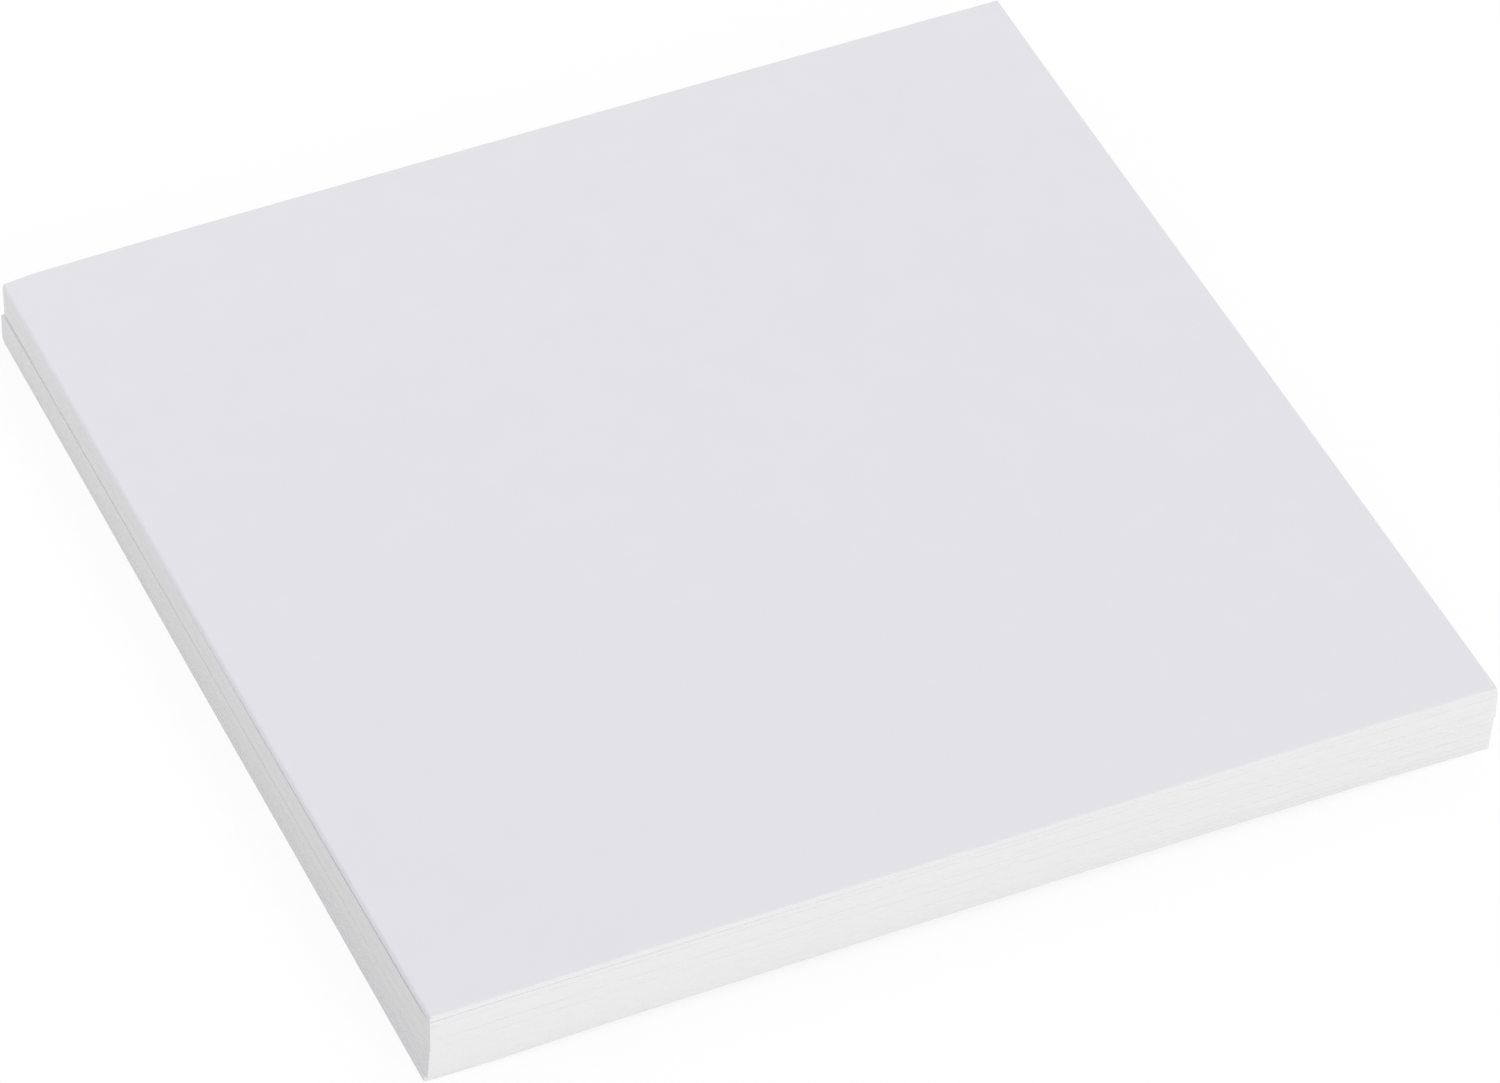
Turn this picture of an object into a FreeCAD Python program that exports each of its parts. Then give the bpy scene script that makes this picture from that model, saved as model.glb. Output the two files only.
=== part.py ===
import FreeCAD
import Part
import Sketcher
import os

# A loose stack of square art paper tiles: heavy white paper, guillotined square, squared up by hand.
# Millimetres and degrees. +Z is up, +X is to the right and +Y to the back.
# The origin is on the table, below the middle of the stack. Tiles are numbered from the bottom.

DIMENSIONS = [
    ("tile_side", 101.6, "edge of each square tile, 4 inches"),
    ("tile_thickness", 0.525, "thickness of the paper"),
    ("tile_count", 14, "tiles in the stack"),
    ("lower_count", 7, "tiles in the lower group, which has slid out to the left"),
    ("stack_air", 0.67, "height that bow and loose corners add to the stack, as air between the tiles"),
    ("lower_slide", 0.16, "step to the left from the upper group to the lower one"),
    ("lower_fan", 0.026, "turn of each tile below the step against the one above it, in degrees"),
    ("fan_pivot", 22, "distance to the right, along the back edge, of the point that they turn about"),
    ("top_trim", 0.21, "how much narrower the top tile is cut, at its right edge"),
    ("top_slide", 0.02, "how far the top tile lies to the right of the upper group, and behind it"),
    ("unevenness", 0.01, "how far a tile lies out of line with its group, at most"),
    ("skew", 0.004, "how far a tile is turned out of line with its group, in degrees, at most"),
]

# Whole turns of this angle never fall in line, so no two tiles lie out of line in the same way.
SCATTER_ANGLE = "137.5 deg"


def make_sheet(document):
    """The driving dimensions, one to a row: its alias, its value and what it is."""
    sheet = document.addObject("Spreadsheet::Sheet", "dimensions")
    for row, (alias, value, meaning) in enumerate(DIMENSIONS, start=1):
        sheet.set(f"A{row}", alias)
        sheet.set(f"B{row}", str(value))
        sheet.set(f"C{row}", meaning)
        sheet.setAlias(f"B{row}", alias)
    document.recompute()
    return sheet


def draw_outline(body, half_side, width):
    """The tile's outline: centred on the body's origin, in its XY plane, with its width as an expression."""
    outline = body.newObject("Sketcher::SketchObject", "outline")
    planes = [plane for plane in body.Origin.OriginFeatures if plane.Role == "XY_Plane"]
    outline.AttachmentSupport = [(planes[0], "")]
    outline.MapMode = "FlatFace"

    corners = [
        FreeCAD.Vector(-half_side, -half_side, 0),
        FreeCAD.Vector(half_side, -half_side, 0),
        FreeCAD.Vector(half_side, half_side, 0),
        FreeCAD.Vector(-half_side, half_side, 0),
    ]
    for here, there in zip(corners, corners[1:] + corners[:1]):
        outline.addGeometry(Part.LineSegment(here, there), False)

    start, end, sketch_origin = 1, 2, -1
    front, right, back, left = range(4)
    for edge, following in ((front, right), (right, back), (back, left), (left, front)):
        outline.addConstraint(Sketcher.Constraint("Coincident", edge, end, following, start))
    for edge in (front, back):
        outline.addConstraint(Sketcher.Constraint("Horizontal", edge))
    for edge in (right, left):
        outline.addConstraint(Sketcher.Constraint("Vertical", edge))
    outline.addConstraint(Sketcher.Constraint("Symmetric", front, start, back, start, sketch_origin, 1))
    across = outline.addConstraint(Sketcher.Constraint("DistanceX", front, start, front, end, 2 * half_side))
    outline.renameConstraint(across, "width")
    outline.setExpression("Constraints.width", width)
    along = outline.addConstraint(Sketcher.Constraint("DistanceY", right, start, right, end, 2 * half_side))
    outline.renameConstraint(along, "depth")
    outline.setExpression("Constraints.depth", "dimensions.tile_side")
    return outline


def lie_of(number, count, lower_count):
    """Where a tile lies: its slide to the right, its slide to the back and its turn, as expressions."""
    scatter = f"{SCATTER_ANGLE} * {number}"
    right = f"dimensions.unevenness * sin({scatter})"
    back = f"dimensions.unevenness * cos({scatter})"
    turn = f"dimensions.skew * sin(2 * {scatter})"
    if number <= lower_count:
        fan = f"dimensions.lower_fan * {lower_count - number}"
        right = f"{right} - dimensions.lower_slide / 2 - dimensions.tile_side / 2 * sin({fan} * 1 deg)"
        back = f"{back} + dimensions.fan_pivot * sin({fan} * 1 deg)"
        turn = f"{turn} - {fan}"
    else:
        right = f"{right} + dimensions.lower_slide / 2"
    if number == count:
        right = f"{right} + dimensions.top_slide - dimensions.top_trim / 2"
        back = f"{back} + dimensions.top_slide"
    return right, back, turn


def make_tile(document, sheet, number):
    """One tile: its outline padded up by the paper's thickness, laid at its height in the stack."""
    count = int(sheet.get("tile_count"))
    body = document.addObject("PartDesign::Body", f"tile_{number:02d}")
    body.Label = f"tile_{number:02d}"

    width = "dimensions.tile_side - dimensions.top_trim" if number == count else "dimensions.tile_side"
    outline = draw_outline(body, float(sheet.get("tile_side")) / 2, width)
    paper = body.newObject("PartDesign::Pad", "paper")
    paper.Profile = outline
    paper.setExpression("Length", "dimensions.tile_thickness")

    pitch = "(dimensions.tile_thickness + dimensions.stack_air / (dimensions.tile_count - 1))"
    right, back, turn = lie_of(number, count, int(sheet.get("lower_count")))
    where = f"vector({right}; {back}; {pitch} * {number - 1})"
    body.setExpression("Placement", f"placement({where}; rotation(vector(0; 0; 1); {turn}))")
    return body


def check_document(document, tiles):
    """Stop before anything is written if an object failed or a tile isn't one valid solid."""
    for item in document.Objects:
        if "Invalid" in item.State or "Error" in item.State:
            raise RuntimeError(f"{item.Label} failed: {item.State}")
    for tile in tiles:
        shape = tile.Shape
        if shape.isNull() or not shape.isValid() or len(shape.Solids) != 1:
            raise RuntimeError(f"{tile.Label} is not one valid solid")


document = FreeCAD.newDocument("art_paper_tiles")
sheet = make_sheet(document)
tiles = [make_tile(document, sheet, number) for number in range(1, int(sheet.get("tile_count")) + 1)]
document.recompute()
check_document(document, tiles)

os.makedirs("parts", exist_ok=True)
for tile in tiles:
    tile.Shape.exportStep(os.path.join("parts", f"{tile.Label}.step"))
    box = tile.Shape.BoundBox
    print(f"{tile.Label}: x {box.XMin:.2f} to {box.XMax:.2f}, z {box.ZMin:.3f} to {box.ZMax:.3f}")
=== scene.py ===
import math

import bpy
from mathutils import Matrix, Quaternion, Vector, noise


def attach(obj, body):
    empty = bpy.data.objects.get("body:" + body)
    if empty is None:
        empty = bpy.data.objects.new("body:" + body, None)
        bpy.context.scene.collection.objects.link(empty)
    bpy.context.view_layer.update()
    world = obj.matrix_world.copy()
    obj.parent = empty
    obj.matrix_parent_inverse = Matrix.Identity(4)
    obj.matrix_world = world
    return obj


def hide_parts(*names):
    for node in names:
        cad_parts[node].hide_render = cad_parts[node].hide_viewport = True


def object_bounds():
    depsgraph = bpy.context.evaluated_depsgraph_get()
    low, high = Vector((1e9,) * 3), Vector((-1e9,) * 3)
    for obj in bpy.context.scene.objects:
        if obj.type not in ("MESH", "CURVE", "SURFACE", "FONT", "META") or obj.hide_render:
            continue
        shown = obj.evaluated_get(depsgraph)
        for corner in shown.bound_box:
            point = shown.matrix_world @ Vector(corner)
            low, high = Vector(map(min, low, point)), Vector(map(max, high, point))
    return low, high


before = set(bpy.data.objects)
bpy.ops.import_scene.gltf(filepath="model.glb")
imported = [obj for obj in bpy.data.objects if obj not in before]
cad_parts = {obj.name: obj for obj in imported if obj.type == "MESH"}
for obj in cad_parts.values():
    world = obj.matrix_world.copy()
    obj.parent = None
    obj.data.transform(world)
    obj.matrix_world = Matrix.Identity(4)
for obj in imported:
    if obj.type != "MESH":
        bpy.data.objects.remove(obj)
cad_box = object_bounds()


# ---- The paper's broad faces
# Heavy drawing paper, sized and pressed smooth: a matt, very slightly bluish white.
# The felt leaves a low, fine tooth, and the pulp settles in faint clouds with a few stray fibres.

FACE_WHITE = (0.852, 0.846, 0.886, 1)
FACE_CLOUD = (0.844, 0.839, 0.880, 1)
FACE_FIBRE = (0.834, 0.830, 0.868, 1)
CLOUD_SIZE = 0.0045
CLOUD_LIMITS = (0.35, 0.65)  # grain below the first is all white, above the second all cloud
FIBRE_WIDTH = 0.00016
FIBRE_LENGTH = 9  # in widths
FIBRE_LIMITS = (0.70, 0.80)
TOOTH_SIZE = 0.00042
TOOTH_DEPTH = 0.0000045


def new_paper(name, roughness, gloss):
    """A matt paper with nothing joined to its shader, and the place in space that its grain follows."""
    paper = bpy.data.materials.new(name)
    paper.use_nodes = True
    nodes = paper.node_tree.nodes
    shader = nodes["Principled BSDF"]
    shader.inputs["Roughness"].default_value = roughness
    shader.inputs["Specular IOR Level"].default_value = gloss
    place = nodes.new("ShaderNodeTexCoord")
    return paper, shader, place.outputs["Object"]


def grain(paper, place, size, detail=2.0, stretch=(1, 1, 1)):
    """Even random grain whose lumps are about so large, in metres, and longer along the stretched axes."""
    nodes = paper.node_tree.nodes
    links = paper.node_tree.links
    stretched = nodes.new("ShaderNodeMapping")
    stretched.inputs["Scale"].default_value = [1 / (size * along) for along in stretch]
    links.new(place, stretched.inputs["Vector"])
    lumps = nodes.new("ShaderNodeTexNoise")
    lumps.inputs["Scale"].default_value = 1
    lumps.inputs["Detail"].default_value = detail
    links.new(stretched.outputs["Vector"], lumps.inputs["Vector"])
    return lumps.outputs["Fac"]


def spread(paper, value, limits):
    """A grain value spread out from 0 at the lower limit to 1 at the upper one."""
    ramp = paper.node_tree.nodes.new("ShaderNodeMapRange")
    ramp.inputs["From Min"].default_value = limits[0]
    ramp.inputs["From Max"].default_value = limits[1]
    paper.node_tree.links.new(value, ramp.inputs["Value"])
    return ramp.outputs["Result"]


def tinted(paper, share, below, above):
    """The colour between two whites by a share. The one below may be a colour already mixed."""
    mix = paper.node_tree.nodes.new("ShaderNodeMix")
    mix.data_type = "RGBA"
    paper.node_tree.links.new(share, mix.inputs["Factor"])
    lower, upper = (i for i in mix.inputs if i.type == "RGBA")
    if isinstance(below, tuple):
        lower.default_value = below
    else:
        paper.node_tree.links.new(below, lower)
    upper.default_value = above
    return next(o for o in mix.outputs if o.type == "RGBA")


def raised(paper, shader, layers):
    """Relief on the shader from layers of (height share, depth in metres), one on another."""
    under = None
    for share, depth in layers:
        bump = paper.node_tree.nodes.new("ShaderNodeBump")
        bump.inputs["Distance"].default_value = depth
        paper.node_tree.links.new(share, bump.inputs["Height"])
        if under is not None:
            paper.node_tree.links.new(under, bump.inputs["Normal"])
        under = bump.outputs["Normal"]
    paper.node_tree.links.new(under, shader.inputs["Normal"])


def make_face_paper():
    """Faint clouds, then the stray fibres that lie one way and the other, over a fine tooth."""
    paper, shader, place = new_paper("sized_paper_face", roughness=0.72, gloss=0.32)
    clouds = grain(paper, place, CLOUD_SIZE, detail=3)
    one_way = grain(paper, place, FIBRE_WIDTH, stretch=(FIBRE_LENGTH, 1, FIBRE_LENGTH))
    other_way = grain(paper, place, FIBRE_WIDTH, stretch=(1, FIBRE_LENGTH, FIBRE_LENGTH))
    white = tinted(paper, spread(paper, clouds, CLOUD_LIMITS), FACE_WHITE, FACE_CLOUD)
    white = tinted(paper, spread(paper, one_way, FIBRE_LIMITS), white, FACE_FIBRE)
    white = tinted(paper, spread(paper, other_way, FIBRE_LIMITS), white, FACE_FIBRE)
    paper.node_tree.links.new(white, shader.inputs["Base Color"])
    tooth = grain(paper, place, TOOTH_SIZE, detail=3)
    raised(paper, shader, [(tooth, TOOTH_DEPTH), (one_way, TOOTH_DEPTH)])
    return paper


# ---- The paper's cut edges
# Bare pulp where the guillotine went through: a plain white, a little rougher than the faces.
# Its layers show as fine streaks along the edge, crossed by the knife's upright scores.

EDGE_WHITE = (0.864, 0.863, 0.866, 1)
EDGE_STREAK = (0.842, 0.841, 0.844, 1)
EDGE_SPECK = (0.74, 0.735, 0.73, 1)
STREAK_HEIGHT = 0.00005
STREAK_LENGTH = 40  # in heights
STREAK_LIMITS = (0.4, 0.75)
STREAK_DEPTH = 0.000004
SCORE_WIDTH = 0.00012
SCORE_LENGTH = 14  # in widths
SCORE_DEPTH = 0.000005
SPECK_SIZE = 0.00014
SPECK_LIMITS = (0.78, 0.84)


def make_edge_paper():
    """Streaks along the edge and a few darker specks, with the streaks and the scores in relief."""
    paper, shader, place = new_paper("cut_paper_edge", roughness=0.86, gloss=0.2)
    streaks = grain(paper, place, STREAK_HEIGHT, stretch=(STREAK_LENGTH, STREAK_LENGTH, 1))
    scores = grain(paper, place, SCORE_WIDTH, stretch=(1, 1, SCORE_LENGTH))
    specks = grain(paper, place, SPECK_SIZE, detail=1)
    white = tinted(paper, spread(paper, streaks, STREAK_LIMITS), EDGE_WHITE, EDGE_STREAK)
    white = tinted(paper, spread(paper, specks, SPECK_LIMITS), white, EDGE_SPECK)
    paper.node_tree.links.new(white, shader.inputs["Base Color"])
    raised(paper, shader, [(streaks, STREAK_DEPTH), (scores, SCORE_DEPTH)])
    return paper


# ---- The sheets
# Fourteen squares of 300 g/m2 paper, knocked up square by hand and laid loose on each other. They bow up
# together in the middle. The near left corner, where they have been leafed through, is the fullest, the
# tip of the far right one is a little full, and the near right one is pressed flat.

PAPER = 0.000525
REST_GAP = 0.000004
SQUARED_HEIGHT = 0.007415
LOWER_COUNT = 7

# how far the stack bows up in the middle, and a higher power for a bow that ends nearer the edges
TOP_BOW_FRONT = 0.000369
TOP_BOW_BACK = 0.000351
BOTTOM_BOW = 0.00052
BOW_POWER = 3.8

# what each corner adds to the height or takes off it, and a higher power to keep to the corner's tip
FULL_CORNER = 0.000532
FULL_POWER = 3
FLAT_CORNER = 0.00022
FLAT_POWER = 3
FAR_CORNER = 0.00026
FAR_POWER = 9

# how far the stack stands open along its left edge: under the top sheet, and between the two groups
TOP_OPENING = 0.000275
TOP_OPENING_POWER = 34
OPENS_OVER = 0.02  # of the edge's length, at the near end
OPENS_AFTER = 0.3  # of OPENS_OVER
CLOSES_OVER = 0.6  # of the edge's length, at the far end
STEP_OPENING = 0.0001
STEP_POWER = 5
STEP_POWER_BACK = 0.9

# the steps of a sheet's mesh across and along, and down its rounded edge, and the marks of the knife there
STEPS = 72
CLOSER_AT_EDGES = 0.7
ARRIS_STEPS = 5
EDGE_ROUND = 0.000007
NICK = 0.000004
NICK_LENGTH = 0.006
NICK_STRIDE = 7.3  # how far apart two sheets' nicks are taken from the same noise

sheet_count = len(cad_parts)
half_side = (cad_box[1].x - cad_box[0].x) / 2

papers = [make_face_paper(), make_edge_paper()]
FACE, EDGE = range(len(papers))  # their places in the list


def corners_of(node):
    """Three corners of the CAD tile, seen from above: near left, near right and far left."""
    points = [v.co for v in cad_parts[node].data.vertices]
    near_left = min(points, key=lambda p: p.x + p.y)
    near_right = max(points, key=lambda p: p.x - p.y)
    far_left = min(points, key=lambda p: p.x - p.y)
    return [Vector((p.x, p.y)) for p in (near_left, near_right, far_left)]


def rightness(x):
    """0 at the stack's left edge and 1 at its right one."""
    return min(1, max(0, (1 + x / half_side) / 2))


def backness(y):
    """0 at the stack's front edge and 1 at its back one."""
    return min(1, max(0, (1 + y / half_side) / 2))


def bow(x):
    """The shape of the bow: 1 at the middle, falling ever faster to 0 at the left and right edges."""
    return 1 - min(1, abs(x) / half_side) ** BOW_POWER


def stack_bottom(x):
    """Height of the bottom sheet's lower face above the table."""
    return BOTTOM_BOW * bow(x)


def stack_top(x, y):
    """Height of the stack, with its bow, its two full corners and its flat one."""
    right = rightness(x)
    back = backness(y)
    bowed = (TOP_BOW_FRONT * (1 - back) + TOP_BOW_BACK * back) * bow(x)
    full = FULL_CORNER * ((1 - right) * (1 - back)) ** FULL_POWER
    flat = FLAT_CORNER * right**2 * (3 - 2 * right) * (1 - back) ** FLAT_POWER
    far = FAR_CORNER * (right * back) ** FAR_POWER
    return SQUARED_HEIGHT + bowed + full - flat + far


def top_gap(x, y):
    """How far the top sheet's left edge stands off the others: evenly along its near half, but for
    the corner's tip, where they meet, and less and less towards the far corner."""
    back = backness(y)
    near_end = min(1, max(0, back / OPENS_OVER - OPENS_AFTER))
    far_end = min(1, (1 - back) / CLOSES_OVER)
    return TOP_OPENING * (1 - rightness(x)) ** TOP_OPENING_POWER * near_end * far_end


def step_gap(x, y):
    """How far the upper group stands off the lower one: along its left edge, most at the far corner."""
    return STEP_OPENING * (1 - rightness(x)) ** STEP_POWER * backness(y) ** STEP_POWER_BACK


def underside(number, x, y):
    """Height of a sheet's lower face. All sheets but the top one share the stack's height evenly."""
    if number == sheet_count:
        return stack_top(x, y) - PAPER
    opened = step_gap(x, y)
    shared = stack_top(x, y) - PAPER - top_gap(x, y) - opened - stack_bottom(x)
    below = stack_bottom(x) + shared * (number - 1) / (sheet_count - 1)
    return below + (opened if number > LOWER_COUNT else 0)


def upper_face(number, x, y):
    """Height of a sheet's upper face: just under the sheet above it, or under the gap there."""
    if number == sheet_count:
        return stack_top(x, y)
    above = underside(number + 1, x, y) - REST_GAP
    if number == LOWER_COUNT:
        above -= step_gap(x, y)
    if number == sheet_count - 1:
        above -= top_gap(x, y)
    return above


def spaced(step):
    """How far across or along a sheet one of its even steps is, as a share: closer towards the edges."""
    even = step / STEPS
    return even - CLOSER_AT_EDGES * math.sin(2 * math.pi * even) / (2 * math.pi)


def arris(reach, drag):
    """Steps round a rounded edge as (inwards, downwards), from the broad face to the cut. It reaches
    so far in, and drag times as far down."""
    turns = [math.pi / 2 * step / ARRIS_STEPS for step in range(ARRIS_STEPS + 1)]
    return [(reach * (1 - math.sin(turn)), drag * reach * (1 - math.cos(turn))) for turn in turns]


def crisp(across, along):
    """How far in an upper arris is rounded that the knife left sharp."""
    return EDGE_ROUND


def untouched(across, along):
    """A sheet that has lost nothing from its left, front or right edge."""
    return 0, 0, 0


def nicks_round(number, walk, width, depth):
    """How deep the knife has nicked a sheet at each place round it. No two sheets are alike."""
    nicks = []
    for share_across, share_along in walk:
        right = share_across * width / NICK_LENGTH
        back = share_along * depth / NICK_LENGTH
        spot = Vector((right, back, number * NICK_STRIDE))
        nicks.append(NICK * (0.5 + 0.5 * noise.noise(spot)))
    return nicks


def broad_squares(top_rows, bottom_rows):
    """The squares of the upper and the lower face, all turned outwards."""
    squares = []
    for row in range(STEPS):
        for column in range(STEPS):
            for rows, order in ((top_rows, 1), (bottom_rows, -1)):
                square = [
                    rows[row][column],
                    rows[row][column + 1],
                    rows[row + 1][column + 1],
                    rows[row + 1][column],
                ]
                squares.append(square[::order])
    return squares


def edge_bands(rings, walk, smeared):
    """The bands from ring to ring down the edge, and what each shows: cut pulp, but the face's skin
    where it has been drawn down over the left arris."""
    bands = []
    kinds = []
    for level, (above, below) in enumerate(zip(rings, rings[1:])):
        for place in range(len(walk)):
            following = (place + 1) % len(walk)
            bands.append((above[place], below[place], below[following], above[following]))
            on_left = walk[place][0] == 0 or walk[following][0] == 0
            kinds.append(FACE if smeared and on_left and level < ARRIS_STEPS else EDGE)
    return bands, kinds


def keep_uprights_crisp(mesh, rings):
    """Marks the four upright edges sharp, so that the sides meet in a clean line."""
    uprights = set()
    for corner in range(0, len(rings[0]), STEPS):
        uprights.update((above[corner], below[corner]) for above, below in zip(rings, rings[1:]))
    for edge in mesh.edges:
        ends = tuple(edge.vertices)
        edge.use_edge_sharp = ends in uprights or ends[::-1] in uprights


def lay_sheet(number, rolled=crisp, worn=untouched, smeared=0):
    """Cuts one sheet to its CAD tile's outline, lays it on the stack and lets it bend.
    rolled gives how far in its upper arris is rounded, and worn how much is missing from its left,
    its front and its right edge, at a place on the outline given as its shares across and along the
    sheet. Where the knife has drawn the arris down, and the face's skin with it at the left, smeared
    is how many times as far down as in."""
    node = f"tile_{number:02d}"
    near_left, near_right, far_left = corners_of(node)
    across = (near_right - near_left).normalized()
    along = (far_left - near_left).normalized()
    width = (near_right - near_left).length
    depth = (far_left - near_left).length

    # the outline, anticlockwise from the near left corner, as steps and as shares across and along
    paces = [(step, 0) for step in range(STEPS)]
    paces += [(STEPS, step) for step in range(STEPS)]
    paces += [(STEPS - step, STEPS) for step in range(STEPS)]
    paces += [(0, STEPS - step) for step in range(STEPS)]
    walk = [(spaced(column), spaced(row)) for column, row in paces]
    nicks = nicks_round(number, walk, width, depth)
    points = []

    def put(right, back, drop, upper):
        """Adds a point: right and back from the near left corner, and so far below the upper face or
        above the lower one."""
        flat = near_left + across * right + along * back
        if upper:
            height = upper_face(number, flat.x, flat.y) - drop
        else:
            height = underside(number, flat.x, flat.y) + drop
        points.append((flat.x, flat.y, height))
        return len(points) - 1

    def ring(step, upper):
        """One closed line round the sheet, at a step of the upper or lower arris."""
        made = []
        for nick, (share_across, share_along) in zip(nicks, walk):
            reach = rolled(share_across, share_along) if upper else EDGE_ROUND
            inwards, drop = arris(reach, smeared if smeared and upper else 1)[step]
            inset = inwards + nick
            left_loss, front_loss, right_loss = worn(share_across, share_along)
            right = min(max(share_across * width, inset + left_loss), width - inset)
            back = min(max(share_along * depth, inset + front_loss), depth - inset)
            if share_across == 0:
                right = inset + left_loss
            if share_across == 1:
                right = width - inset - right_loss
            if share_along == 0:
                back = inset + front_loss
            made.append(put(right, back, drop, upper))
        return made

    def broad_face(border, upper):
        """The square grid inside a ring, as rows of point numbers."""
        rows = [[None] * (STEPS + 1) for _ in range(STEPS + 1)]
        for point, (column, row) in zip(border, paces):
            rows[row][column] = point
        for row in range(1, STEPS):
            for column in range(1, STEPS):
                rows[row][column] = put(width * spaced(column), depth * spaced(row), 0, upper)
        return rows

    rings = [ring(step, True) for step in range(ARRIS_STEPS + 1)]
    rings += [ring(step, False) for step in range(ARRIS_STEPS, -1, -1)]
    squares = broad_squares(broad_face(rings[0], True), broad_face(rings[-1], False))
    bands, band_kinds = edge_bands(rings, walk, smeared)

    mesh = bpy.data.meshes.new(f"paper_{node}")
    mesh.from_pydata(points, [], squares + bands)
    for paper in papers:
        mesh.materials.append(paper)
    mesh.polygons.foreach_set("material_index", [FACE] * len(squares) + band_kinds)
    mesh.polygons.foreach_set("use_smooth", [True] * len(mesh.polygons))
    mesh.update()
    keep_uprights_crisp(mesh, rings)

    sheet = bpy.data.objects.new(f"paper_{node}", mesh)
    bpy.context.scene.collection.objects.link(sheet)
    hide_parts(node)
    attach(sheet, "root")


# ---- The lower group
# The seven lower sheets have slid out to the left as they were put down, the bottom one the most at the
# near corner, where its tip is blunted. The next five are worn there, and so is the uppermost, whose arris
# is rubbed round too. The knife ran out a little at the far corner, where all but the bottom one flare.

ROLL_SHARE = 0.028
NEAR_WEAR = 0.00008
WEAR_STEP = 0.00002
RUBBED_ARRIS = 0.0001
TIP_LOSS = 0.00025
TIP_SHARE = 0.06
FAR_FLARE = 0.0001
FLARE_POWER = 12
FULLY_FLARED = 3  # the lowest sheet that flares in full
FAR_LOSS = 0.00007
FAR_LOSS_START = 0.55
FAR_LOSS_OVER = 0.25


def on_left_edge(across):
    """1 on the left edge, running out over the first millimetres of the front and back edges."""
    return max(0, 1 - across / ROLL_SHARE)


def worn_at_left(number):
    """What a sheet has lost from its left edge: more towards the near end and the lower it lies, and
    less than nothing at the far end, where it flares."""
    most = NEAR_WEAR + WEAR_STEP * (LOWER_COUNT - number)
    flare = FAR_FLARE * min(1, (number - 1) / (FULLY_FLARED - 1))
    return lambda across, along: (most * math.sqrt(1 - along) - flare * along**FLARE_POWER, 0, 0)


def rubbed(across, along):
    """How far in the uppermost sheet's arris is rubbed round, at the left edge."""
    return EDGE_ROUND + (RUBBED_ARRIS - EDGE_ROUND) * on_left_edge(across)


def blunted(across, along):
    """What is missing at the tip of the bottom sheet's near left corner, which sticks out furthest,
    and along the far part of its left edge."""
    far_part = min(1, max(0, (along - FAR_LOSS_START) / FAR_LOSS_OVER))
    return FAR_LOSS * far_part, TIP_LOSS * max(0, 1 - across / TIP_SHARE), 0


lay_sheet(1, worn=blunted)
for number in range(2, LOWER_COUNT):
    lay_sheet(number, worn=worn_at_left(number))
lay_sheet(LOWER_COUNT, rolled=rubbed, worn=worn_at_left(LOWER_COUNT))


# ---- The upper group
# The next six sheets lie square on each other. Along their left edge, towards the far corner, they
# stand off the lower group by a hair, which leaves a dark line. That far corner is crushed a little.

CORNER_CRUSH = 0.00005


def crushed_corner(across, along):
    """What is missing at the tip of the far left corner."""
    at_tip = 1 if across == 0 and along == 1 else 0
    return CORNER_CRUSH * at_tip, 0, 0


for number in range(LOWER_COUNT + 1, sheet_count):
    lay_sheet(number, worn=crushed_corner)


# ---- The top sheet
# The top square's left edge has curled up by a hair at the near end, and is a little bellied. It lay
# uppermost under the knife, which rolled that edge over, took a sliver off the front edge and cut the
# right edge slightly out of square. Its near right tip is worn round.

LEFT_ROLL = 0.0003
FRONT_ROLL = 0.00008
NEAR_RIGHT_ROLL = 0.0001
DRAG = 1.5
BELLY = 0.0001
BELLY_NEAR = 0.1  # the share of the belly that the near end has
BELLY_RISE = 1.25
KNIFE_SLIVER = 0.00009
SLIVER_POWER = 2
KNIFE_WEDGE = 0.0001


def knife_roll(across, along):
    """The roll on the left and front edges, and the one that wear left on the near right corner's tip."""
    if across == 1 and along == 0:
        return NEAR_RIGHT_ROLL
    plain = FRONT_ROLL if along == 0 else EDGE_ROUND
    return plain + (LEFT_ROLL - plain) * on_left_edge(across)


def knife_cut(across, along):
    """The belly of the left edge, crushed at its far tip, the sliver missing from the front edge, and
    the wedge from the right edge, which is cut out of square."""
    belly = BELLY * min(1, BELLY_NEAR + BELLY_RISE * along)
    if along == 1:
        belly = -CORNER_CRUSH
    sliver = KNIFE_SLIVER * (1 - across) ** SLIVER_POWER
    wedge = KNIFE_WEDGE * (2 * along - 1)
    return -belly, sliver, wedge


lay_sheet(sheet_count, rolled=knife_roll, worn=knife_cut, smeared=DRAG)


# ---- The table
# A wide, matt white table top that the stack lies on. It shows white all round and keeps the stack's
# soft shadow.

TABLE_SIZE = 6.0
TABLE_WHITE = (0.8, 0.8, 0.8, 1)
GLOW_SHARE = 0.75  # of what is seen
GLOW_STRENGTH = 1.1


def looked_at(nodes, links):
    """1 where the white itself is seen, directly or in a reflection, and 0 where it only gives light."""
    light_path = nodes.new("ShaderNodeLightPath")
    seen = light_path.outputs["Is Camera Ray"]
    for way in ("Is Glossy Ray", "Is Transmission Ray"):
        either = nodes.new("ShaderNodeMath")
        either.operation = "MAXIMUM"
        links.new(seen, either.inputs[0])
        links.new(light_path.outputs[way], either.inputs[1])
        seen = either.outputs["Value"]
    return seen


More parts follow.
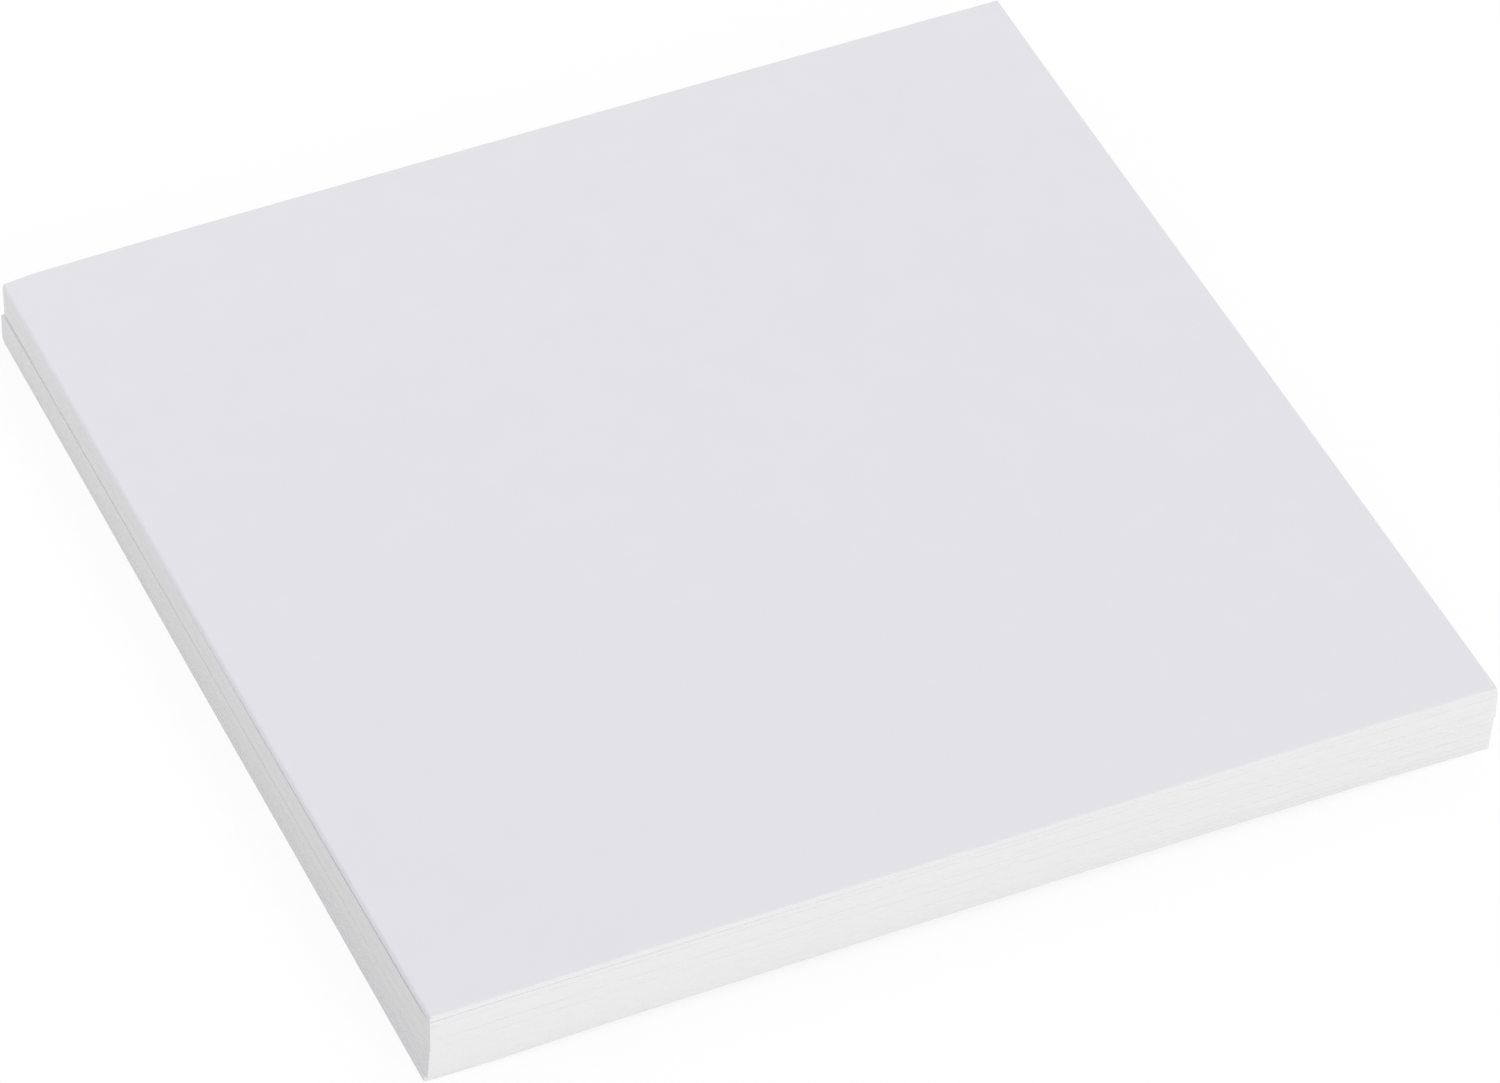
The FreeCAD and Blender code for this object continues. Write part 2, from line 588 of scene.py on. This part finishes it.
def make_table_top():
    """Matt white that takes the light and the shadow, with an even white over it where it is seen."""
    table_top = bpy.data.materials.new("table_top")
    table_top.use_nodes = True
    nodes = table_top.node_tree.nodes
    links = table_top.node_tree.links
    shader = nodes["Principled BSDF"]
    shader.inputs["Base Color"].default_value = TABLE_WHITE
    shader.inputs["Roughness"].default_value = 1
    shader.inputs["Specular IOR Level"].default_value = 0
    glow = nodes.new("ShaderNodeEmission")
    glow.inputs["Strength"].default_value = GLOW_STRENGTH
    share = nodes.new("ShaderNodeMath")
    share.operation = "MULTIPLY"
    share.inputs[1].default_value = GLOW_SHARE
    links.new(looked_at(nodes, links), share.inputs[0])
    mix = nodes.new("ShaderNodeMixShader")
    links.new(share.outputs["Value"], mix.inputs["Fac"])
    links.new(shader.outputs["BSDF"], mix.inputs[1])
    links.new(glow.outputs["Emission"], mix.inputs[2])
    links.new(mix.outputs["Shader"], nodes["Material Output"].inputs["Surface"])
    return table_top


table_mesh = bpy.data.meshes.new("table")
reach = TABLE_SIZE / 2
table_corners = [(-reach, -reach, 0), (reach, -reach, 0), (reach, reach, 0), (-reach, reach, 0)]
table_mesh.from_pydata(table_corners, [], [(0, 1, 2, 3)])
table_mesh.materials.append(make_table_top())
table = bpy.data.objects.new("table", table_mesh)
bpy.context.scene.collection.objects.link(table)


# ---- The lamps
# A white tent gives an even light from all round. Three square soft boxes model the stack: a large one
# low in front, which makes the near edge the brightest, a large one high behind it to the right, and a
# small one close to its far left corner.

TENT_LIGHT = 0.571
SOFT_BOXES = [  # name, place, size in metres and power in watts
    ("front_box", (0, -0.846, 0.308), 0.6, 3.1),
    ("back_box", (0.409, 0.409, 0.689), 0.6, 1.9),
    ("left_box", (-0.3, 0.3, 0.155), 0.3, 0.36),
]


def hang_soft_box(name, place, size, power):
    """A square lamp that faces the middle of the stack, and isn't seen itself."""
    lamp = bpy.data.lights.new(name, "AREA")
    lamp.shape = "SQUARE"
    lamp.size = size
    lamp.energy = power
    box = bpy.data.objects.new(name, lamp)
    box.location = place
    box.rotation_mode = "QUATERNION"
    box.rotation_quaternion = (-Vector(place)).to_track_quat("-Z", "Y")
    box.visible_camera = False
    bpy.context.scene.collection.objects.link(box)


def put_up_tent():
    """Even light from all round, with plain white where the tent itself is seen."""
    tent = bpy.data.worlds.new("tent")
    tent.use_nodes = True
    nodes = tent.node_tree.nodes
    links = tent.node_tree.links
    light = nodes["Background"]
    light.inputs["Color"].default_value = (1, 1, 1, 1)
    light.inputs["Strength"].default_value = TENT_LIGHT
    seen_white = nodes.new("ShaderNodeBackground")
    seen_white.inputs["Color"].default_value = (1, 1, 1, 1)
    seen_white.inputs["Strength"].default_value = 1
    mix = nodes.new("ShaderNodeMixShader")
    links.new(looked_at(nodes, links), mix.inputs["Fac"])
    links.new(light.outputs["Background"], mix.inputs[1])
    links.new(seen_white.outputs["Background"], mix.inputs[2])
    links.new(mix.outputs["Shader"], nodes["World Output"].inputs["Surface"])
    bpy.context.scene.world = tent


for soft_box in SOFT_BOXES:
    hang_soft_box(*soft_box)
put_up_tent()
bpy.context.scene.view_settings.view_transform = "Standard"


# ---- The camera
# A long lens three quarters of a metre away, to the left of the front and looking down on the
# stack, held tilted by a degree.

CAMERA_AZIMUTH = math.radians(-25.102)
CAMERA_ELEVATION = math.radians(43.575)
CAMERA_ROLL = math.radians(1.162)
CAMERA_DISTANCE = 0.76913
CAMERA_AIM = Vector((-0.000146, -0.004334, 0.0037))
LENS = 205.67

lens = bpy.data.cameras.new("camera")
lens.sensor_width = 36
lens.lens = LENS
camera = bpy.data.objects.new("camera", lens)
backwards = Vector((
    math.sin(CAMERA_AZIMUTH) * math.cos(CAMERA_ELEVATION),
    -math.cos(CAMERA_AZIMUTH) * math.cos(CAMERA_ELEVATION),
    math.sin(CAMERA_ELEVATION),
))
camera.location = CAMERA_AIM + backwards * CAMERA_DISTANCE
camera.rotation_mode = "QUATERNION"
level = (-backwards).to_track_quat("-Z", "Y")
camera.rotation_quaternion = level @ Quaternion((0, 0, 1), CAMERA_ROLL)
bpy.context.scene.collection.objects.link(camera)
bpy.context.scene.camera = camera
